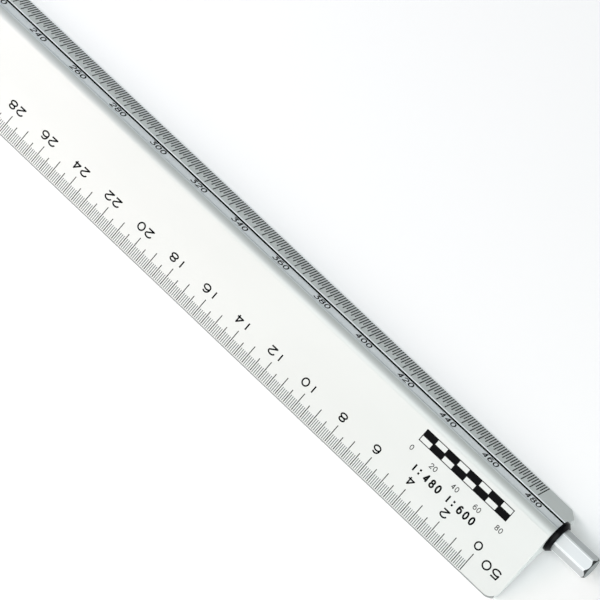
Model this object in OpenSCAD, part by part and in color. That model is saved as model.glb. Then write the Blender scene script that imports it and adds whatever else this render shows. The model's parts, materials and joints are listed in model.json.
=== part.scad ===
// Engineer's scale rule: an extruded body that carries two fixed scales, and a hexagonal
// numeral bar that turns in it, so that one of the bar's six faces lies beside the ticks.
// X runs along the rule towards the knob, Y across it towards the tick edge, and Z up from
// the table. The origin is the bottom centre of the whole rule. All sizes are in millimetres.

/* [Body] */
// Length of the extruded body
body_l = 322.8; // [150:0.2:400]
// Height of the bar's axis above the table
axis_h = 5.15; // [5:0.05:5.4]
// Slope of the printed face to the table, in degrees
face_slope = 25; // [23:0.5:26]
// Distance from the bar's axis to the plane of the printed face
face_off = 4.45; // [4.35:0.05:4.6]
// Thickness of the body at its thin edge
edge_t = 1.15; // [0.9:0.05:1.4]
// Width of the foot under the thin edge
edge_foot_w = 1.4; // [0.8:0.1:2]
// Rise of the underside just inside that foot
foot_step = 0.8; // [0.4:0.05:0.9]
// Slope of the underside to the table, in degrees
under_slope = 10.5; // [9:0.5:12]
// Thickness of the body at its tick edge
tick_edge_t = 0.5; // [0.3:0.05:0.8]
// Width of the foot under the tick edge
tick_foot_w = 2.4; // [1.2:0.1:2.8]
// Radius of the two corners at the thin edge
edge_corner_r = 2.7; // [1:0.1:4]
// Size of the two cut corners at the tick edge, along the rule and across it
tick_corner = [2.2, 1.8];

/* [Tube] */
// Radius of the bore that holds the bar
bore_r = 3.32; // [3.25:0.01:3.4]
// Outer radius of the tube around that bore
tube_r = 4.15; // [4.05:0.05:4.3]
// Radius of the shoulder between the printed face and the window
shoulder_r = 2.4; // [2.2:0.05:2.6]
// Distance from the tube's centre line back to the shoulder's centre
shoulder_back = 0.05; // [0:0.05:0.1]
// Upper edge of the window, in degrees from the bar's first corner
lip_angle = 70; // [69:0.5:72]
// Depth of the narrow land between the window and the tick face, below the bar's axis
land_z = 0.95; // [0.9:0.01:1.1]
// Radius of the hollow between the underside and the tube
root_r = 5; // [3:0.5:6]
// Where the tick edge's web meets the tube, in degrees from level
web_angle = -52; // [-60:1:-45]

/* [Numeral bar] */
// Width of the bar across its flats
bar_af = 5.1; // [4.9:0.05:5.15]
// Turn of the bar's top flat from level, in degrees
bar_tilt = 13; // [12:0.5:14]
// Radius that the bar's six corners are turned down to
bar_corner_r = 2.85; // [2.8:0.01:2.9]
// Length of the knob, from the bush to the end
knob_l = 9.25; // [6:0.05:14]
// Length of the turned chamfer at the knob's corners
knob_chamfer = 0.62; // [0.3:0.01:1]
// Radius of the journal at the far end
journal_r = 1.5; // [1.3:0.05:1.8]
// Length of the journal beyond the far bush
journal_out = 1.5; // [1.3:0.1:2]

/* [End bushes] */
// Radius of a bush's flange
flange_r = 3.95; // [3.8:0.05:4.1]
// Thickness of a bush's flange
flange_t = 1.4; // [1.1:0.1:2]
// Chamfer on the outer rim of a flange
flange_chamfer = 0.75; // [0.3:0.05:0.8]
// Length of the spigot inside the tube
spigot_l = 9; // [5:0.5:12]
// Radial clearance of the bar's corners and the journal in a bush
bush_clear = 0.06; // [0.03:0.01:0.09]

/* [Retaining clip] */
// Outer radius of the clip
clip_r = 2.9; // [2.5:0.1:3.5]
// Thickness of the clip
clip_t = 0.5; // [0.4:0.05:0.6]
// Depth of the groove that the clip sits in
clip_groove = 0.35; // [0.25:0.05:0.5]

/* [Index springs] */
// Length of a leaf spring
spring_l = 40; // [30:1:50]
// Width of a leaf spring
spring_w = 2.4; // [2:0.1:2.5]
// Thickness of a leaf spring
spring_t = 0.2; // [0.15:0.01:0.22]
// Distance from the body's end to a spring
spring_in = 14; // [13:1:30]

/* [Hidden] */

round_fn = 96;
hex_sides = 6;
half_face = 180 / hex_sides;
hex_r = bar_af / 2 / cos(half_face);
tick_angle = bar_tilt + half_face;
// Axial play at each end of the bar, and the clearance that pressed or sprung pieces keep
end_gap = 0.15;
slip = 0.02;
// How far cutting shapes reach from the axis, and how far they stand past what they cut
reach = 12;
over = 1;
wall_mid = (bore_r + tube_r) / 2;
// Round stretches stand this much past the faces that they run into, so that they cross them
blend = 0.02;

// Unit vector at an angle in the section, and the unit vector a quarter turn before it
function dir(a) = [cos(a), sin(a)];
function before(a) = [sin(a), -cos(a)];

// Distances from the bar's axis to the two long edges
blade_w = (face_off / cos(face_slope) + axis_h - edge_t) / tan(face_slope);
tick_w = (bar_af / 2 + (axis_h - tick_edge_t) * sin(tick_angle)) / cos(tick_angle);

// Shoulder: a circle that touches the printed face from below
shoulder_c = (face_off + blend - shoulder_r) * dir(face_slope + 90)
    - shoulder_back * dir(face_slope);
shoulder_top = shoulder_c + (shoulder_r - blend) * dir(face_slope + 90);

// Hollow under the body: a circle that touches both the underside and the tube
under_start = [-blade_w + edge_foot_w, -axis_h + foot_step];
root_q = under_start + (root_r - blend) * before(under_slope);
root_u = root_q * dir(under_slope);
root_reach = tube_r + root_r - blend;
root_t = -root_u - sqrt(root_u * root_u - root_q * root_q + root_reach * root_reach);
root_c = root_q + root_t * dir(under_slope);
root_on_under = root_c - (root_r - blend) * before(under_slope);
root_on_tube = root_c * (tube_r - blend / 2) / root_reach;

// A point of the tick face's plane, which is the plane of the bar's exposed face too
function on_tick_plane(down) = bar_af / 2 * dir(tick_angle) + down * before(tick_angle);

// Where the tick face's plane is drawn from: inside the bore, which cuts it back
tick_start = bar_af / 3;

// Spring: it rests on its ends in the bore, and its crest lies just under a flat of the bar
spring_seat = sqrt(bore_r * bore_r - spring_w * spring_w / 4) - slip;
spring_crest = bar_af / 2 + slip + spring_t;
spring_rise = spring_seat - spring_crest;
spring_bow_r = (spring_l * spring_l / 4 + spring_rise * spring_rise) / (2 * spring_rise);
spring_fn = 720;
tab_w = 1.4;
tab_gap = 0.05;
// Slot that the tab drops into, along the rule and across it, and its play beside the tab
tab_slot = [0.8, 1.8];
tab_play = 0.3;

// Where the body stands in the frame of the whole rule
far_out = flange_t + journal_out;
knob_out = flange_t + knob_l;
body_x = -(body_l + knob_out - far_out) / 2;
axis_y = (blade_w - tick_w) / 2;

// Moves a piece from the body's own frame, whose X starts at the body's far end and whose
// Y and Z start on the bar's axis, to its place in the rule
module place() {
    translate([body_x, axis_y, axis_h]) children();
}

// Extrudes a section drawn in Y and Z along the rule, from x0 to x1
module along(x0, x1) {
    translate([x0, 0, 0]) rotate([90, 0, 90]) linear_extrude(x1 - x0) children();
}

// Mirrors a piece that is drawn at the far end to the knob end
module at_knob_end() {
    translate([body_l, 0, 0]) mirror([1, 0, 0]) children();
}

// The open part of the tube, from the land beside the tick face up to the lip
module window_sector() {
    rotate(bar_tilt) polygon([
        [0, 0],
        [0, -land_z],
        [reach, -land_z],
        [reach, reach],
        reach * dir(lip_angle)
    ]);
}

module blade_section() {
    difference() {
        polygon([
            [-blade_w, -axis_h + edge_t],
            [-blade_w, -axis_h],
            [-blade_w + edge_foot_w, -axis_h],
            under_start,
            root_on_under,
            root_on_tube,
            [0, 0],
            shoulder_c,
            shoulder_top
        ]);
        translate(root_c) circle(root_r, $fn = round_fn);
    }
}

module tick_section() {
    polygon([
        wall_mid * dir(web_angle),
        [tick_w - tick_foot_w, -axis_h],
        [tick_w, -axis_h],
        [tick_w, -axis_h + tick_edge_t],
        on_tick_plane(tick_start),
        wall_mid * dir(web_angle / 2)
    ]);
}

// The tube without what would stand past the shoulder, where the shoulder itself forms the
// lip, or past the tick face
module tube_section() {
    difference() {
        circle(tube_r, $fn = round_fn);
        polygon([
            shoulder_c,
            [reach, shoulder_c[1]],
            [reach, reach],
            shoulder_c + reach * dir(face_slope + 90)
        ]);
        rotate(tick_angle) translate([bar_af / 2 - blend, -reach]) square([reach, 2 * reach]);
    }
}

module body_section() {
    difference() {
        union() {
            tube_section();
            blade_section();
            translate(shoulder_c) circle(shoulder_r, $fn = round_fn);
            tick_section();
        }
        window_sector();
        circle(bore_r, $fn = round_fn);
    }
}

// What is cut off the two corners at one end, seen from above
module corner_cuts() {
    difference() {
        translate([-over, -blade_w - over]) square(edge_corner_r + over);
        translate([edge_corner_r, edge_corner_r - blade_w])
            circle(edge_corner_r + blend, $fn = round_fn);
    }
    polygon([
        [-over, tick_w + over],
        [-over, tick_w - tick_corner[1] * (1 + over / tick_corner[0])],
        [tick_corner[0] * (1 + over / tick_corner[1]), tick_w + over]
    ]);
}

// Slot in the tube's floor that the tab of a spring drops into
module tab_slot_cut() {
    rotate([bar_tilt, 0, 0])
        translate([spring_in - tab_play, -tab_slot[1] / 2, -tube_r - over])
            cube([tab_slot[0], tab_slot[1], tube_r + over - bar_af / 2]);
}

module end_cuts() {
    translate([0, 0, -reach]) linear_extrude(2 * reach) corner_cuts();
    tab_slot_cut();
}

module rule_body() {
    color([0.87, 0.89, 0.88]) place() difference() {
        along(0, body_l) body_section();
        end_cuts();
        at_knob_end() end_cuts();
    }
}

// Everything that the bar's hexagon is turned down to: plain, with a chamfered knob end
module turned_blank(length) {
    chamfer_r = hex_r - bar_af / 2;
    rotate([0, 90, 0]) rotate_extrude($fn = round_fn) polygon([
        [0, 0],
        [bar_corner_r, 0],
        [bar_corner_r, length - knob_chamfer],
        [bar_corner_r - chamfer_r, length],
        [0, length]
    ]);
}

// Journal at the far end, with a groove for the clip and a chamfered tip
module journal() {
    tip = 0.2;
    clip_x = clip_t + 2 * slip;
    tail = journal_out - end_gap - clip_x;
    translate([-far_out, 0, 0]) rotate([0, 90, 0]) rotate_extrude($fn = round_fn) polygon([
        [0, 0],
        [journal_r - tip, 0],
        [journal_r, tip],
        [journal_r, tail],
        [journal_r - clip_groove, tail],
        [journal_r - clip_groove, tail + clip_x],
        [journal_r, tail + clip_x],
        [journal_r, far_out + over],
        [0, far_out + over]
    ]);
}

module numeral_bar() {
    color([0.8, 0.83, 0.84]) place() {
        translate([end_gap, 0, 0]) intersection() {
            along(0, body_l + knob_out - end_gap)
                rotate(bar_tilt) circle(hex_r, $fn = hex_sides);
            turned_blank(body_l + knob_out - end_gap);
        }
        journal();
    }
}

// Flanged bush at the far end: the flange closes the tube, and the spigot lines the closed
// part of the bore, so that it doesn't show in the window
module end_bush(hole_r) {
    window_gap = 3;
    translate([-flange_t, 0, 0]) rotate([0, 90, 0]) rotate_extrude($fn = round_fn) polygon([
        [hole_r, 0],
        [flange_r - flange_chamfer, 0],
        [flange_r, flange_chamfer],
        [flange_r, flange_t],
        [hole_r, flange_t]
    ]);
    along(-blend, spigot_l) difference() {
        circle(bore_r - slip, $fn = round_fn);
        circle(bar_corner_r + bush_clear + slip, $fn = round_fn);
        rotate(window_gap) window_sector();
        rotate(-window_gap) window_sector();
    }
}

module knob_end_bush() {
    color([0.06, 0.06, 0.065]) place() at_knob_end() end_bush(bar_corner_r + bush_clear);
}

module far_end_bush() {
    color([0.06, 0.06, 0.065]) place() end_bush(journal_r + bush_clear);
}

// Push-on clip with an open side and three inner lugs
module retaining_clip() {
    groove_r = journal_r - clip_groove;
    opening = 1.6 * groove_r;
    pocket_r = 0.5;
    pocket_at = groove_r + 0.3;
    color([0.55, 0.56, 0.58]) place()
        along(-flange_t - end_gap - clip_t, -flange_t - end_gap) difference() {
            circle(clip_r, $fn = round_fn);
            circle(groove_r + slip, $fn = round_fn);
            translate([0, -opening / 2]) square([reach, opening]);
            for (a = [60, 180, 300]) rotate(a)
                translate([pocket_at, 0]) circle(pocket_r, $fn = round_fn);
        }
}

// Bowed leaf spring under the bar at the far end, with a tab that keeps it from sliding
module index_spring() {
    tab_l = tube_r - spring_seat - tab_gap;
    translate([spring_in, 0, 0]) rotate([bar_tilt, 0, 0]) {
        rotate([90, 0, 0]) translate([0, 0, -spring_w / 2]) linear_extrude(spring_w)
            intersection() {
                difference() {
                    translate([spring_l / 2, -spring_crest - spring_bow_r])
                        circle(spring_bow_r + spring_t, $fn = spring_fn);
                    translate([spring_l / 2, -spring_crest - spring_bow_r])
                        circle(spring_bow_r, $fn = spring_fn);
                }
                translate([0, -tube_r]) square([spring_l, tube_r]);
            }
        translate([0, -tab_w / 2, -spring_seat - tab_l])
            cube([spring_t, tab_w, tab_l + spring_t / 2]);
    }
}

module index_spring_knob_end() {
    color([0.7, 0.71, 0.73]) place() at_knob_end() index_spring();
}

module index_spring_far_end() {
    color([0.7, 0.71, 0.73]) place() index_spring();
}

rule_body();
numeral_bar();
knob_end_bush();
far_end_bush();
retaining_clip();
index_spring_knob_end();
index_spring_far_end();
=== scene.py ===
"""Engineer's scale rule: printed marks, materials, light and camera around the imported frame."""
import copy
import json
import math

import bpy
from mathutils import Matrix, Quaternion, Vector
from mathutils.geometry import delaunay_2d_cdt


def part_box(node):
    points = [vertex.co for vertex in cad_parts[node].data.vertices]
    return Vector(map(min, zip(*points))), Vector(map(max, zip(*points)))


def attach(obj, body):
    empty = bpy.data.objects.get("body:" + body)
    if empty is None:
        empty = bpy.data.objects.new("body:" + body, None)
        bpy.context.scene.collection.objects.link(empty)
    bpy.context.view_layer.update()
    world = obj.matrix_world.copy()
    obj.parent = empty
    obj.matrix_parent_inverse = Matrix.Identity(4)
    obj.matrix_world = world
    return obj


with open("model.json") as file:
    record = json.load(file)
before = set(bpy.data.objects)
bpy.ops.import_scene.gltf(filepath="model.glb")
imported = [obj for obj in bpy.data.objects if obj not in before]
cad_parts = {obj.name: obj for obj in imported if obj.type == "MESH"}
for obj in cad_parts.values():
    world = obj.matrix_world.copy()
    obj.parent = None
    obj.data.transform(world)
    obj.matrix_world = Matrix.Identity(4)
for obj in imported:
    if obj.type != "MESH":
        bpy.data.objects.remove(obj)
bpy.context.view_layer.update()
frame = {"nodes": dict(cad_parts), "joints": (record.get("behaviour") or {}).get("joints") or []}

MM = 0.001
INCH = 25.4 * MM

# ---------------------------------------------------------------- places, from the frame
AXIS = Vector(frame["joints"][0]["pos_m"])
BODY_LOW, BODY_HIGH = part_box("rule_body")
BAR_FACES = 6

# ---------------------------------------------------------------- camera
CAMERA_AZIMUTH = math.radians(45.243)
CAMERA_ELEVATION = math.radians(69.733)
CAMERA_ROLL = math.radians(-0.121)
CAMERA_DISTANCE = 929.7 * MM
CAMERA_LENS = 257.35
SENSOR = 36.0
AIM_FROM_BODY_END = 76.09 * MM
AIM_FROM_AXIS = -0.84 * MM
AIM_HEIGHT = 5.04 * MM


def direction(azimuth, elevation):
    """Unit vector towards an azimuth, measured from -Y towards +X, and an elevation."""
    return Vector((
        math.sin(azimuth) * math.cos(elevation),
        -math.cos(azimuth) * math.cos(elevation),
        math.sin(elevation),
    ))


def add_camera():
    aim = Vector((BODY_HIGH.x - AIM_FROM_BODY_END, AXIS.y + AIM_FROM_AXIS, AIM_HEIGHT))
    back = direction(CAMERA_AZIMUTH, CAMERA_ELEVATION)
    data = bpy.data.cameras.new("camera")
    data.lens = CAMERA_LENS
    data.sensor_width = SENSOR
    camera = bpy.data.objects.new("camera", data)
    camera.location = aim + back * CAMERA_DISTANCE
    camera.rotation_mode = "QUATERNION"
    roll = Quaternion((0, 0, 1), CAMERA_ROLL)
    camera.rotation_quaternion = (-back).to_track_quat("-Z", "Y") @ roll
    bpy.context.scene.collection.objects.link(camera)
    bpy.context.scene.camera = camera


add_camera()


# ---------------------------------------------------------------- zones of the metal: painted shade and painted highlights
# Distances are from the bar's axis: across the rule, above it, or straight away from it.
# Facings are the least, or greatest, part of the surface's normal along one axis.
# Painted black shade inside the bore, and on the lip's cut face that faces the window.
SHADE_WITHIN = 3.41 * MM
PAINTED_SHADE_BLACK = (0.004, 0.004, 0.0045)
# Painted highlights: on the body's lip and on the land beside the window, and on the bar's turned
# corners.
LIP_FROM = 0.22 * MM
LIP_ABOVE = 3.3 * MM
CUT_FACING = 0.95
LAND_FROM = 1.5 * MM
LAND_FACING = 0.9
PAINTED_HIGHLIGHT = (0.95, 0.98, 1.0)
# Painted shade on the wall at the thin edge.
EDGE_WALL_FACING = 0.6
EDGE_WALL_SHADE = (0.27, 0.285, 0.28)
# Painted highlight on the bar's turned corners, beyond this distance from the axis.
BAR_CORNER_FROM = 2.79 * MM
SIDE_FACING = 0.9
# Painted shade on the knob's turned chamfer.
CHAMFER_FACING = 0.3
CHAMFER_SHADE = (0.05, 0.055, 0.055)
# Painted shade on the bar's end face.
END_FACING = 0.8
END_SHADE = (0.3, 0.32, 0.32)
# Factors on the bar's colour, painted light and shade: lighter on its faces in the body, darker
# on the sides of its knob
PAINTED_LIGHT_FACES = (1.22, 1.22, 1.22)
PAINTED_SHADE_SIDES = (0.82, 0.82, 0.82)


# ---------------------------------------------------------------- materials
# Patterns of noise: how far they are drawn out along X, their scale, and their detail
DRAWN_LINES = (60, 9000, 2.0)
SATIN_GRAIN = (1, 12000, 2.0)
SATIN_CLOUD = (3, 60, 3.0)
PLASTIC_GRAIN = (1, 5000, 3.0)
PLASTIC_CLOUD = (1, 250, 2.0)
STEEL_LINES = (30, 4000, 2.0)
INK_GRAIN = (1, 8000, 3.0)
NOISE_RANGE = (0.3, 0.7)
# Bumps: strength, and depth
GRAIN_BUMP = (0.15, 0.005 * MM)
STREAK_BUMP = (0.2, 0.01 * MM)
# How far the roughness goes below and above what a metal is given
SATIN_SPREAD = (0.015, 0.02)
STEEL_SPREAD = (0, 0.12)
ANODISED_METALLIC = 0.25
PLASTIC_COLOURS = ((0.002, 0.002, 0.0025), (0.005, 0.005, 0.006))
PLASTIC_ROUGHNESS = (0.2, 0.28)
PLASTIC_SPECULAR = 0.05
INK_ROUGHNESS = (0.7, 0.85)
INK_SPECULAR = 0.04


def new_material(name):
    material = bpy.data.materials.new(name)
    material.use_nodes = True
    tree = material.node_tree
    return material, tree, tree.nodes["Principled BSDF"]


def noise(tree, pattern):
    """Noise in the object's own coordinates, drawn out along X."""
    along, scale, detail = pattern
    place = tree.nodes.new("ShaderNodeTexCoord")
    mapping = tree.nodes.new("ShaderNodeMapping")
    mapping.inputs["Scale"].default_value = (1 / along, 1, 1)
    tree.links.new(place.outputs["Object"], mapping.inputs["Vector"])
    texture = tree.nodes.new("ShaderNodeTexNoise")
    texture.inputs["Scale"].default_value = scale
    texture.inputs["Detail"].default_value = detail
    tree.links.new(mapping.outputs["Vector"], texture.inputs["Vector"])
    return texture.outputs["Fac"]


def ramp(tree, fac, low, high):
    """Runs from one grey or colour to another over the middle of the noise's range."""
    node = tree.nodes.new("ShaderNodeValToRGB")
    for stop, place, value in zip(node.color_ramp.elements, NOISE_RANGE, (low, high)):
        stop.position = place
        stop.color = (*value, 1) if isinstance(value, tuple) else (value, value, value, 1)
    tree.links.new(fac, node.inputs["Fac"])
    return node.outputs["Color"]


def bump(tree, shader, height, strength, distance):
    node = tree.nodes.new("ShaderNodeBump")
    node.inputs["Strength"].default_value = strength
    node.inputs["Distance"].default_value = distance
    tree.links.new(height, node.inputs["Height"])
    tree.links.new(node.outputs["Normal"], shader.inputs["Normal"])


def around(value, spread):
    return value - spread[0], value + spread[1]


def vector_math(tree, operation, first, second=None):
    node = tree.nodes.new("ShaderNodeVectorMath")
    node.operation = operation
    tree.links.new(first, node.inputs[0])
    if second is not None:
        node.inputs[1].default_value = second
    return node.outputs["Value" if operation == "LENGTH" else "Vector"]


def compare(tree, operation, value, limit):
    """1 where the value is LESS_THAN or GREATER_THAN the limit, and 0 elsewhere."""
    node = tree.nodes.new("ShaderNodeMath")
    node.operation = operation
    tree.links.new(value, node.inputs[0])
    node.inputs[1].default_value = limit
    return node.outputs["Value"]


def combined(tree, operation, first, second):
    """MULTIPLY gives 1 where both masks are 1, and MAXIMUM the greater of two values."""
    node = tree.nodes.new("ShaderNodeMath")
    node.operation = operation
    tree.links.new(first, node.inputs[0])
    tree.links.new(second, node.inputs[1])
    return node.outputs["Value"]


def painted(tree, colour, mask, other, blend="MIX"):
    """The colour, with another one, or times another one, where the mask is 1."""
    mix = tree.nodes.new("ShaderNodeMix")
    mix.data_type = "RGBA"
    mix.blend_type = blend
    tree.links.new(mask, mix.inputs["Factor"])
    tree.links.new(colour, mix.inputs["A"])
    mix.inputs["B"].default_value = (*other, 1)
    return mix.outputs["Result"]


def facing_and_offset(tree):
    """Which way the surface faces, its offset from the bar's axis, and its distance."""
    place = tree.nodes.new("ShaderNodeTexCoord")
    facing = tree.nodes.new("ShaderNodeSeparateXYZ")
    tree.links.new(place.outputs["Normal"], facing.inputs["Vector"])
    from_axis = vector_math(tree, "SUBTRACT", place.outputs["Object"], AXIS)
    section = vector_math(tree, "MULTIPLY", from_axis, (0, 1, 1))
    offset = tree.nodes.new("ShaderNodeSeparateXYZ")
    tree.links.new(from_axis, offset.inputs["Vector"])
    return facing.outputs, offset.outputs, vector_math(tree, "LENGTH", section)


def body_zones(tree, colour):
    """The colour and the matt part of the body's zones: painted shade on the wall at the thin
    edge, a painted highlight on the lip and on the land beside the window, and painted black
    shade in the bore and on the lip's cut face."""
    facing, offset, radius = facing_and_offset(tree)
    # Painted shade on the wall at the thin edge.
    edge_wall = compare(tree, "LESS_THAN", facing["Y"], -EDGE_WALL_FACING)
    colour = painted(tree, colour, edge_wall, EDGE_WALL_SHADE)
    # Painted highlight on the lip above the window.
    near = compare(tree, "GREATER_THAN", offset["Y"], LIP_FROM)
    high = compare(tree, "GREATER_THAN", offset["Z"], LIP_ABOVE)
    colour = painted(tree, colour, combined(tree, "MULTIPLY", near, high), PAINTED_HIGHLIGHT)
    # Painted black shade on the lip's cut face, which faces the window.
    cut = compare(tree, "GREATER_THAN", facing["Y"], CUT_FACING)
    colour = painted(tree, colour, combined(tree, "MULTIPLY", cut, high), PAINTED_SHADE_BLACK)
    # Painted highlight on the up-facing land beside the window.
    beyond = compare(tree, "GREATER_THAN", offset["Y"], LAND_FROM)
    level = compare(tree, "GREATER_THAN", facing["Z"], LAND_FACING)
    colour = painted(tree, colour, combined(tree, "MULTIPLY", beyond, level), PAINTED_HIGHLIGHT)
    # Painted black shade inside the bore, round the bar.
    bore = compare(tree, "LESS_THAN", radius, SHADE_WITHIN)
    return painted(tree, colour, bore, PAINTED_SHADE_BLACK), bore


def bar_zones(tree, colour):
    """The colour and the matt part of the bar's zones: painted light on its faces in the body and
    painted shade on the knob's sides, painted highlights on the turned corners, and painted shade
    on the turned chamfer and on the end."""
    facing, offset, radius = facing_and_offset(tree)
    # Painted light on the bar's faces inside the body.
    inside = compare(tree, "LESS_THAN", offset["X"], BODY_HIGH.x)
    colour = painted(tree, colour, inside, PAINTED_LIGHT_FACES, "MULTIPLY")
    # Painted shade on the side facets of the knob.
    outside = compare(tree, "GREATER_THAN", offset["X"], BODY_HIGH.x)
    side = compare(tree, "LESS_THAN", facing["Z"], SIDE_FACING)
    knob_side = combined(tree, "MULTIPLY", outside, side)
    colour = painted(tree, colour, knob_side, PAINTED_SHADE_SIDES, "MULTIPLY")
    # Painted highlight on the bar's turned corners.
    corner = compare(tree, "GREATER_THAN", radius, BAR_CORNER_FROM)
    colour = painted(tree, colour, corner, PAINTED_HIGHLIGHT)
    # Painted shade on the knob's turned chamfer.
    sloping = compare(tree, "GREATER_THAN", facing["X"], CHAMFER_FACING)
    colour = painted(tree, colour, sloping, CHAMFER_SHADE)
    # Painted shade on the bar's end face.
    end = compare(tree, "GREATER_THAN", facing["X"], END_FACING)
    return painted(tree, colour, end, END_SHADE), sloping


def satin_aluminium(name, dark, light, rough, zones):
    """Clear-anodised extrusion: faint drawn lines along X, and a fine matt grain."""
    material, tree, shader = new_material(name)
    lines = noise(tree, DRAWN_LINES)
    grain = noise(tree, SATIN_GRAIN)
    cloud = noise(tree, SATIN_CLOUD)
    colour, matt = zones(tree, ramp(tree, cloud, dark, light))
    satin = ramp(tree, lines, *around(rough, SATIN_SPREAD))
    tree.links.new(colour, shader.inputs["Base Color"])
    tree.links.new(combined(tree, "MAXIMUM", satin, matt), shader.inputs["Roughness"])
    shader.inputs["Metallic"].default_value = ANODISED_METALLIC
    bump(tree, shader, grain, *GRAIN_BUMP)
    return material


def black_plastic(name):
    material, tree, shader = new_material(name)
    grain = noise(tree, PLASTIC_GRAIN)
    cloud = noise(tree, PLASTIC_CLOUD)
    tree.links.new(ramp(tree, cloud, *PLASTIC_COLOURS), shader.inputs["Base Color"])
    tree.links.new(ramp(tree, grain, *PLASTIC_ROUGHNESS), shader.inputs["Roughness"])
    shader.inputs["Specular IOR Level"].default_value = PLASTIC_SPECULAR
    bump(tree, shader, grain, *GRAIN_BUMP)
    return material


def spring_steel(name, dark, light, rough):
    material, tree, shader = new_material(name)
    lines = noise(tree, STEEL_LINES)
    tree.links.new(ramp(tree, lines, dark, light), shader.inputs["Base Color"])
    rolled = ramp(tree, lines, *around(rough, STEEL_SPREAD))
    tree.links.new(rolled, shader.inputs["Roughness"])
    shader.inputs["Metallic"].default_value = 1.0
    bump(tree, shader, lines, *STREAK_BUMP)
    return material


def printed_ink(name, dark, light):
    material, tree, shader = new_material(name)
    grain = noise(tree, INK_GRAIN)
    tree.links.new(ramp(tree, grain, dark, light), shader.inputs["Base Color"])
    tree.links.new(ramp(tree, grain, *INK_ROUGHNESS), shader.inputs["Roughness"])
    shader.inputs["Specular IOR Level"].default_value = INK_SPECULAR
    return material


BODY_METAL = satin_aluminium(
    "body_metal", (0.66, 0.69, 0.675), (0.69, 0.72, 0.705), 0.45, body_zones)
BAR_METAL = satin_aluminium(
    "bar_metal", (0.68, 0.71, 0.72), (0.71, 0.74, 0.75), 0.42, bar_zones)
BUSH_BLACK = black_plastic("bush_black")
CLIP_STEEL = spring_steel("clip_metal", (0.34, 0.35, 0.37), (0.5, 0.51, 0.53), 0.3)
SPRING_STEEL = spring_steel("spring_metal", (0.55, 0.56, 0.58), (0.72, 0.73, 0.75), 0.2)
BLACK_INK = printed_ink("black_ink", (0.003, 0.003, 0.0035), (0.008, 0.008, 0.009))
GREY_INK = printed_ink("grey_ink", (0.075, 0.095, 0.1), (0.12, 0.145, 0.15))

NODE_MATERIALS = {
    "rule_body": BODY_METAL,
    "numeral_bar": BAR_METAL,
    "knob_end_bush": BUSH_BLACK,
    "far_end_bush": BUSH_BLACK,
    "retaining_clip": CLIP_STEEL,
    "index_spring_knob_end": SPRING_STEEL,
    "index_spring_far_end": SPRING_STEEL,
}
for node_name, material in NODE_MATERIALS.items():
    mesh = frame["nodes"][node_name].data
    mesh.materials.clear()
    mesh.materials.append(material)


# ---------------------------------------------------------------- broken edges
WELD_DISTANCE = 0.0005 * MM
SHARP_EDGE = math.radians(28)
BEVEL_SEGMENTS = 2
EDGE_BREAKS = {
    "rule_body": 0.05 * MM,
    "numeral_bar": 0.06 * MM,
    "knob_end_bush": 0.08 * MM,
    "far_end_bush": 0.08 * MM,
}


def break_edges(node_name, width):
    """Rounds a node's sharp edges a little, since no real edge is quite sharp."""
    node = frame["nodes"][node_name]
    weld = node.modifiers.new("weld", "WELD")
    weld.merge_threshold = WELD_DISTANCE
    bevel = node.modifiers.new("edge_break", "BEVEL")
    bevel.width = width
    bevel.segments = BEVEL_SEGMENTS
    bevel.limit_method = "ANGLE"
    bevel.angle_limit = SHARP_EDGE
    bevel.use_clamp_overlap = True


for node_name, width in EDGE_BREAKS.items():
    break_edges(node_name, width)


# ---------------------------------------------------------------- flats that carry marks
SAME_WAY = 0.999
ON_FLAT = 0.002 * MM


class Flat:
    """A flat of a CAD node. across runs over the flat, and along is +X or -X."""

    def __init__(self, node_name, towards, along):
        self.mesh = frame["nodes"][node_name].data
        near = [p for p in self.mesh.polygons if p.normal.dot(towards) > SAME_WAY]
        biggest = max(near, key=lambda p: p.area)
        self.normal = biggest.normal.normalized()
        self.along = Vector((along, 0, 0))
        self.across = self.normal.cross(self.along)
        self.level = self.normal.dot(biggest.center)

    def point(self, x, across, lift=0.0):
        """The point at x, at a distance across from the plane's point nearest the bar's axis,
        and lifted off the flat."""
        foot = AXIS + self.normal * (self.level - self.normal.dot(AXIS))
        place = foot + self.across * across + self.normal * lift
        return Vector((x, place.y, place.z))

    def outer(self):
        """How far the flat's points reach across."""
        return max(
            self.across.dot(v.co - AXIS)
            for v in self.mesh.vertices
            if abs(self.normal.dot(v.co) - self.level) < ON_FLAT
        )

    def upright(self):
        """The same flat read the other way up."""
        turned = copy.copy(self)
        turned.along, turned.across = -self.along, -self.across
        return turned


def section_direction(degrees):
    """Unit vector in the Y-Z section, at an angle from +Y towards +Z."""
    return Vector((0, math.cos(math.radians(degrees)), math.sin(math.radians(degrees))))


PRINTED_FLAT_AT = 115
TICK_FLAT_AT = 43
PRINTED = Flat("rule_body", section_direction(PRINTED_FLAT_AT), -1)
TICK = Flat("rule_body", section_direction(TICK_FLAT_AT), 1)
BAR_FLATS = [
    Flat("numeral_bar", section_direction(TICK_FLAT_AT + 360 * k / BAR_FACES), 1)
    for k in range(BAR_FACES)
]

# ---------------------------------------------------------------- marks as thin prisms
INK_LIFT = 0.008 * MM
INK_SINK = 0.03 * MM


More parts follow.
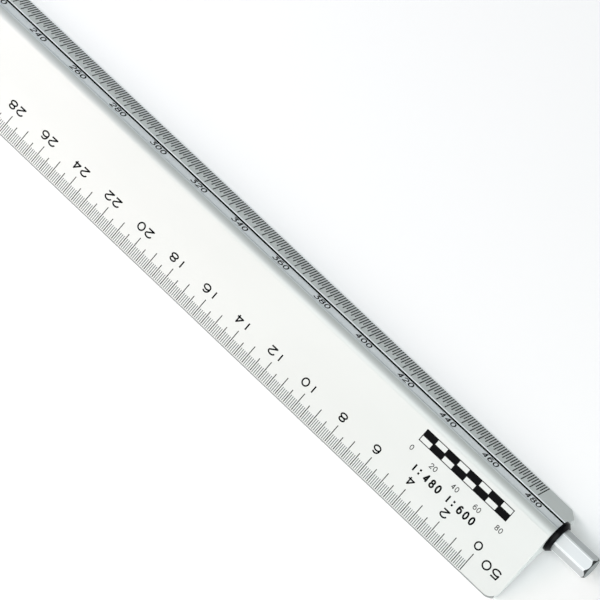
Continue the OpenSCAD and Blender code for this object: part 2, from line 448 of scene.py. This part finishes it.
class Marks:
    """Collects flat outlines as closed prisms, let a little into the face under them."""

    def __init__(self):
        self.points = []
        self.faces = []

    def add(self, corners, faces, rim, place):
        """corners are 2D; place(u, v, lift) gives the point on the part."""
        top = len(self.points)
        foot = top + len(corners)
        for lift in (INK_LIFT, -INK_SINK):
            self.points += [place(u, v, lift) for u, v in corners]
        self.faces += [[top + i for i in face] for face in faces]
        self.faces += [[foot + i for i in reversed(face)] for face in faces]
        self.faces += [[top + a, foot + a, foot + b, top + b] for a, b in rim]

    def finish(self, name, body, material):
        mesh = bpy.data.meshes.new(name)
        mesh.from_pydata(self.points, [], self.faces)
        mesh.validate()
        mesh.update()
        mesh.materials.append(material)
        piece = bpy.data.objects.new(name, mesh)
        bpy.context.scene.collection.objects.link(piece)
        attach(piece, body)


def on_flat(flat, x, across):
    """Placer for outlines drawn with u along the flat's reading direction, v across it."""
    return lambda u, v, lift: flat.point(x + flat.along.x * u, across + v, lift)


def add_rectangle(marks, left, right, low, high, place):
    corners = [(left, low), (right, low), (right, high), (left, high)]
    rim = [(0, 1), (1, 2), (2, 3), (3, 0)]
    marks.add(corners, [(0, 1, 2, 3)], rim, place)


def add_line(marks, flat, x, width, low, high):
    """One straight line across the flat."""
    add_rectangle(marks, -width / 2, width / 2, low, high, on_flat(flat, x, 0))


# ---------------------------------------------------------------- numerals
def arc(cx, cy, rx, ry, start, end, steps=16):
    """Points of an elliptical arc, angles in degrees."""
    angles = [math.radians(start + (end - start) * i / steps) for i in range(steps + 1)]
    return [(cx + rx * math.cos(a), cy + ry * math.sin(a)) for a in angles]


def ring(cx, cy, rx, ry, steps=24):
    return arc(cx, cy, rx, ry, 0, 360, steps)


SIX = [ring(0.5, 0.32, 0.5, 0.32), arc(0.5, 0.5, 0.5, 0.5, 48, 180) + [(0, 0.32)]]
DIGITS = {
    "0": [ring(0.5, 0.5, 0.5, 0.5)],
    "1": [[(0.5, 0), (0.5, 1)]],
    "2": [arc(0.5, 0.7, 0.5, 0.3, 180, -20) + [(0, 0), (1, 0)]],
    "3": [[(0.05, 1), (0.95, 1), (0.42, 0.6)], arc(0.47, 0.31, 0.53, 0.31, 100, -160)],
    "4": [[(0.72, 0), (0.72, 1), (0, 0.27), (1, 0.27)]],
    "5": [[(0.92, 1), (0.12, 1), (0.06, 0.52)] + arc(0.48, 0.33, 0.52, 0.33, 140, -155)],
    "6": SIX,
    "7": [[(0, 1), (1, 1), (0.35, 0)]],
    "8": [ring(0.5, 0.77, 0.42, 0.23), ring(0.5, 0.27, 0.5, 0.27)],
    "9": [[(1 - x, 1 - y) for x, y in stroke] for stroke in SIX],
}

SHARP_TURN = math.radians(40)
MITRE_LIMIT = 0.45
SAME_POINT = 1e-6
KEEP_ALL = 0
JOIN_DISTANCE = 1e-5


def pen_dot(centre, width, sides=12):
    turns = [2 * math.pi * i / sides for i in range(sides)]
    return [centre + Vector((math.cos(a), math.sin(a))) * width / 2 for a in turns]


def smooth_runs(path):
    """The path's stretches between its sharp corners, and those corners."""
    points = [Vector(p) for p in path]
    runs, corners = [[points[0]]], []
    for before, here, after in zip(points, points[1:], points[2:]):
        runs[-1].append(here)
        if (here - before).angle(after - here) > SHARP_TURN:
            corners.append(here)
            runs.append([here])
    runs[-1].append(points[-1])
    return runs, corners


def ribbon(path, width):
    """The quads of a line of this width along a smooth path."""
    closed = len(path) > 2 and math.dist(path[0], path[-1]) < SAME_POINT
    points = [Vector(p) for p in (path[:-1] if closed else path)]
    count = len(points)
    left, right = [], []
    for i, p in enumerate(points):
        before = points[i - 1] if closed or i > 0 else None
        after = points[(i + 1) % count] if closed or i < count - 1 else None
        into = (p - before).normalized() if before is not None else None
        out = (after - p).normalized() if after is not None else into
        into = out if into is None else into
        side = into.orthogonal() + out.orthogonal()
        side.normalize()
        reach = width / 2 / max(side.dot(out.orthogonal()), MITRE_LIMIT)
        left.append(p + side * reach)
        right.append(p - side * reach)
    last = count if closed else count - 1
    return [
        [right[i], right[(i + 1) % count], left[(i + 1) % count], left[i]]
        for i in range(last)
    ]


def joined(outlines):
    """The area that the outlines cover: its corners, its triangles and its rim."""
    corners = [Vector(c) for outline in outlines for c in outline]
    ends = [0]
    for outline in outlines:
        ends.append(ends[-1] + len(outline))
    loops = [list(range(a, b)) for a, b in zip(ends, ends[1:])]
    out = delaunay_2d_cdt(corners, [], loops, KEEP_ALL, JOIN_DISTANCE, True)
    points, faces, sources = out[0], out[2], out[5]
    kept = [list(f) for f, source in zip(faces, sources) if source]
    for f in kept:
        a, b, c = (points[i] for i in f[:3])
        if (b - a).cross(c - a) < 0:
            f.reverse()
    used = {i: n for n, i in enumerate(sorted({i for f in kept for i in f}))}
    kept = [[used[i] for i in f] for f in kept]
    sides = {(a, b) for f in kept for a, b in zip(f, f[1:] + f[:1])}
    rim = sorted((a, b) for a, b in sides if (b, a) not in sides)
    return [tuple(points[i]) for i in sorted(used)], kept, rim


class Style:
    """One size of numerals: digit width and height, line width and pitch, all in mm."""

    def __init__(self, width, height, line, pitch):
        self.width = width * MM
        self.height = height * MM
        self.line = line * MM
        self.pitch = pitch * MM
        self.shapes = {}

    def shape(self, digit):
        """The digit's corners, faces and rim, worked out in millimetres and only once."""
        if digit not in self.shapes:
            span_u = (self.width - self.line) / MM
            span_v = (self.height - self.line) / MM
            line = self.line / MM
            outlines = []
            for stroke in DIGITS[digit]:
                path = [(span_u * (u - 0.5), span_v * (v - 0.5)) for u, v in stroke]
                runs, turns = smooth_runs(path)
                outlines += [quad for run in runs for quad in ribbon(run, line)]
                outlines += [pen_dot(turn, line) for turn in turns]
            corners, faces, rim = joined(outlines)
            self.shapes[digit] = [(u * MM, v * MM) for u, v in corners], faces, rim
        return self.shapes[digit]

    def write(self, marks, flat, x, across, number):
        """Writes the number, centred on x and on the distance across."""
        digits = str(number)
        for i, digit in enumerate(digits):
            shift = (i - (len(digits) - 1) / 2) * self.pitch
            corners, faces, rim = self.shape(digit)
            marks.add(corners, faces, rim, on_flat(flat, x + flat.along.x * shift, across))


# ---------------------------------------------------------------- tick edge: 40 to the inch
SCALE_INCHES = 12
TICK_START = BODY_LOW.x + 9.05 * MM
TICK_PER_INCH = 40
TICK_LINE = 0.25 * MM
TICK_LENGTHS = {4: 5.6 * MM, 2: 4.4 * MM, 1: 3.6 * MM}


def tick_length(i, lengths):
    """The longest length whose step divides i."""
    return lengths[max(step for step in lengths if i % step == 0)]


def add_tick_edge():
    marks = Marks()
    outer = TICK.outer()
    for i in range(SCALE_INCHES * TICK_PER_INCH + 1):
        x = TICK_START + i * INCH / TICK_PER_INCH
        add_line(marks, TICK, x, TICK_LINE, outer - tick_length(i, TICK_LENGTHS), outer)
    marks.finish("tick_edge_marks", "rule", BLACK_INK)


add_tick_edge()

# ---------------------------------------------------------------- thin edge: 50 to the inch
EDGE_ZERO = BODY_HIGH.x - 9.77 * MM
EDGE_PER_INCH = 50
EDGE_LENGTHS = {10: 4.75 * MM, 5: 3.6 * MM, 1: 2.6 * MM}
EDGE_LINES = {"fine": 0.17 * MM, "bold": 0.2 * MM}
EDGE_MARGIN = 0.16 * MM
EDGE_OUTER = PRINTED.outer()
EDGE_NUMERAL = Style(1.98, 2.08, 0.35, 2.4)
EDGE_MARK = Style(2.28, 2.23, 0.36, 2.75)
EDGE_MARK_BEYOND_ZERO = 5.1 * MM
EDGE_MARK_AT = 4.9 * MM
EDGE_NUMERAL_STEP = 20
EDGE_NUMERAL_AT = 6.75 * MM
EDGE_NUMERAL_SHIFT = -0.35 * MM


def add_thin_edge():
    fine, bold, numerals = Marks(), Marks(), Marks()
    outer = EDGE_OUTER - EDGE_MARGIN
    for i in range(SCALE_INCHES * EDGE_PER_INCH + 1):
        x = EDGE_ZERO - i * INCH / EDGE_PER_INCH
        length = tick_length(i, EDGE_LENGTHS)
        marks, line = (fine, EDGE_LINES["fine"]) if i % 5 else (bold, EDGE_LINES["bold"])
        add_line(marks, PRINTED, x, line, EDGE_OUTER - length, outer)
        if i % EDGE_NUMERAL_STEP == 0:
            across = EDGE_OUTER - EDGE_NUMERAL_AT
            EDGE_NUMERAL.write(numerals, PRINTED, x + EDGE_NUMERAL_SHIFT, across, i // 10)
    mark_x = EDGE_ZERO + EDGE_MARK_BEYOND_ZERO
    EDGE_MARK.write(numerals, PRINTED, mark_x, EDGE_OUTER - EDGE_MARK_AT, EDGE_PER_INCH)
    fine.finish("thin_edge_fine_marks", "rule", GREY_INK)
    bold.finish("thin_edge_bold_marks", "rule", BLACK_INK)
    numerals.finish("thin_edge_numerals", "rule", BLACK_INK)


add_thin_edge()

# ---------------------------------------------------------------- the bar's six sets of numerals
BAR_NUMERAL = Style(1.35, 2.15, 0.32, 1.55)
BAR_STATIONS = 24
BAR_SHIFT = 0.5 * MM
# Step between numerals on each face, and whether they run from the knob end
BAR_SETS = [(20, False), (2, False), (200, False), (20, True), (2, True), (200, True)]


def add_bar_numerals():
    for k, (flat, (step, from_knob)) in enumerate(zip(BAR_FLATS, BAR_SETS)):
        marks = Marks()
        for i in range(BAR_STATIONS + 1):
            x = TICK_START + BAR_SHIFT + i * SCALE_INCHES * INCH / BAR_STATIONS
            value = step * (BAR_STATIONS - i if from_knob else i)
            BAR_NUMERAL.write(marks, flat, x, 0, value)
        marks.finish(f"bar_numerals_face_{k + 1}", "bar", BLACK_INK)


add_bar_numerals()


# ---------------------------------------------------------------- graphic scale and ratios
BLOCK_LEFT = BODY_HIGH.x - 35.1 * MM
BLOCK_CELL = 3.24 * MM
BLOCK_CELLS = 8
BLOCK_TOP = 1.35 * MM
BLOCK_HEIGHT = 3.1 * MM
BLOCK_LINE = 0.2 * MM
BLOCK_FIGURE = Style(0.85, 1.26, 0.17, 1.05)
BLOCK_FIGURE_EVERY = 2
BLOCK_FIGURE_STEP = 10
BLOCK_FIGURES_AT = 6.65 * MM
RATIO_FIGURE = Style(1.3, 2.05, 0.42, 1.75)
RATIOS_AT = 9.4 * MM
RATIOS = ((480, BODY_HIGH.x - 26.5 * MM), (600, BODY_HIGH.x - 16.5 * MM))
COLON_DOT = 0.46 * MM
COLON_GAP = 0.9 * MM
# How far the 1 and the colon stand before the middle of the number, in pitches
ONE_BEFORE = 3
COLON_BEFORE = 2.15


def add_patch(marks, flat, x0, x1, low, high):
    """A filled rectangle, from x0 to x1 along the rule."""
    left, right = sorted((x0 * flat.along.x, x1 * flat.along.x))
    add_rectangle(marks, left, right, low, high, on_flat(flat, 0, 0))


def add_frame(marks, flat, x0, x1, low, high, line):
    """A rectangle's outline, as four lines that meet at its corners without overlapping."""
    add_patch(marks, flat, x0, x1, low, low + line)
    add_patch(marks, flat, x0, x1, high - line, high)
    add_patch(marks, flat, x0, x0 + line, low + line, high - line)
    add_patch(marks, flat, x1 - line, x1, low + line, high - line)


def add_graphic_scale(marks, flat):
    """Filled and open cells in turn, in two rows, with their figures below."""
    top = -BLOCK_TOP
    middle = top - BLOCK_HEIGHT / 2
    for i in range(BLOCK_CELLS):
        x0 = BLOCK_LEFT + i * BLOCK_CELL
        x1 = x0 + BLOCK_CELL
        rows = [(middle, top), (top - BLOCK_HEIGHT, middle)]
        filled, hollow = rows if i % 2 == 0 else rows[::-1]
        add_patch(marks, flat, x0, x1, *filled)
        add_frame(marks, flat, x0, x1, *hollow, BLOCK_LINE)
    for i in range(0, BLOCK_CELLS + 1, BLOCK_FIGURE_EVERY):
        x = BLOCK_LEFT + i * BLOCK_CELL
        BLOCK_FIGURE.write(marks, flat, x, -BLOCK_FIGURES_AT, i * BLOCK_FIGURE_STEP)


def add_ratios(marks, flat):
    """Each scale's ratio, as 1 and a number with a colon between them."""
    for number, x in RATIOS:
        RATIO_FIGURE.write(marks, flat, x, -RATIOS_AT, number)
        one_x = x - ONE_BEFORE * RATIO_FIGURE.pitch
        RATIO_FIGURE.write(marks, flat, one_x, -RATIOS_AT, 1)
        colon_x = x - COLON_BEFORE * RATIO_FIGURE.pitch
        half = COLON_DOT / 2
        for side in (-1, 1):
            across = -RATIOS_AT + side * COLON_GAP / 2
            ends = (colon_x - half, colon_x + half, across - half, across + half)
            add_patch(marks, flat, *ends)


def add_block():
    marks = Marks()
    flat = PRINTED.upright()
    add_graphic_scale(marks, flat)
    add_ratios(marks, flat)
    marks.finish("graphic_scale", "rule", BLACK_INK)


add_block()

# ---------------------------------------------------------------- floor, light and colour
FLOOR_SIZE = 6.0
FLOOR_GAP = 0.02 * MM
FLOOR_CLOUD = (1, 4, 2.0)
FLOOR_GREYS = (0.95, 0.97)
FLOOR_ROUGHNESS = 0.9
# The floor glows a little, though it is no lamp: painted light, which softens the shadows on it
FLOOR_GLOW = 0.1


def add_floor():
    mesh = bpy.data.meshes.new("floor")
    half = FLOOR_SIZE / 2
    corners = [(-half, -half), (half, -half), (half, half), (-half, half)]
    mesh.from_pydata([(x, y, -FLOOR_GAP) for x, y in corners], [], [range(4)])
    material, tree, shader = new_material("floor_white")
    cloud = noise(tree, FLOOR_CLOUD)
    tree.links.new(ramp(tree, cloud, *FLOOR_GREYS), shader.inputs["Base Color"])
    shader.inputs["Roughness"].default_value = FLOOR_ROUGHNESS
    shader.inputs["Emission Color"].default_value = (1, 1, 1, 1)
    shader.inputs["Emission Strength"].default_value = FLOOR_GLOW
    mesh.materials.append(material)
    floor = bpy.data.objects.new("floor", mesh)
    bpy.context.scene.collection.objects.link(floor)


# Softboxes around the rule: azimuth and elevation in degrees, power in watts, and colour
SOFTBOX_DISTANCE = 0.75
SOFTBOX_SIDE = 0.5
SOFTBOXES = {
    "front": (-31, 42, 1.4, (1.18, 1, 0.88)),
    "front_left": (-60, 30, 1.86, (1.13, 1, 1.1)),
    "left_low": (-90, 15, 2.87, (0.88, 1, 1.12)),
    "top": (20, 70, 1.84, (0.935, 1, 1.03)),
    "right_low": (77, 12, 4.05, (0.96, 1, 1.01)),
}
SKY_STRENGTH = 0.15
SKY_COLOUR = (0.88, 1, 0.92, 1)


def add_softbox(name, azimuth, elevation, power, colour):
    """A square light that looks at the middle of the picture."""
    towards = direction(math.radians(azimuth), math.radians(elevation))
    data = bpy.data.lights.new(name, "AREA")
    data.shape = "SQUARE"
    data.size = SOFTBOX_SIDE
    data.energy = power
    data.color = colour
    light = bpy.data.objects.new(name, data)
    middle = Vector((BODY_HIGH.x - AIM_FROM_BODY_END, AXIS.y, 0))
    light.location = middle + towards * SOFTBOX_DISTANCE
    light.rotation_mode = "QUATERNION"
    light.rotation_quaternion = (-towards).to_track_quat("-Z", "Y")
    bpy.context.scene.collection.objects.link(light)


def add_sky():
    world = bpy.data.worlds.new("studio")
    world.use_nodes = True
    background = world.node_tree.nodes["Background"]
    background.inputs["Color"].default_value = SKY_COLOUR
    background.inputs["Strength"].default_value = SKY_STRENGTH
    bpy.context.scene.world = world


add_floor()
for softbox_name, settings in SOFTBOXES.items():
    add_softbox(softbox_name, *settings)
add_sky()
bpy.context.scene.view_settings.view_transform = "Standard"
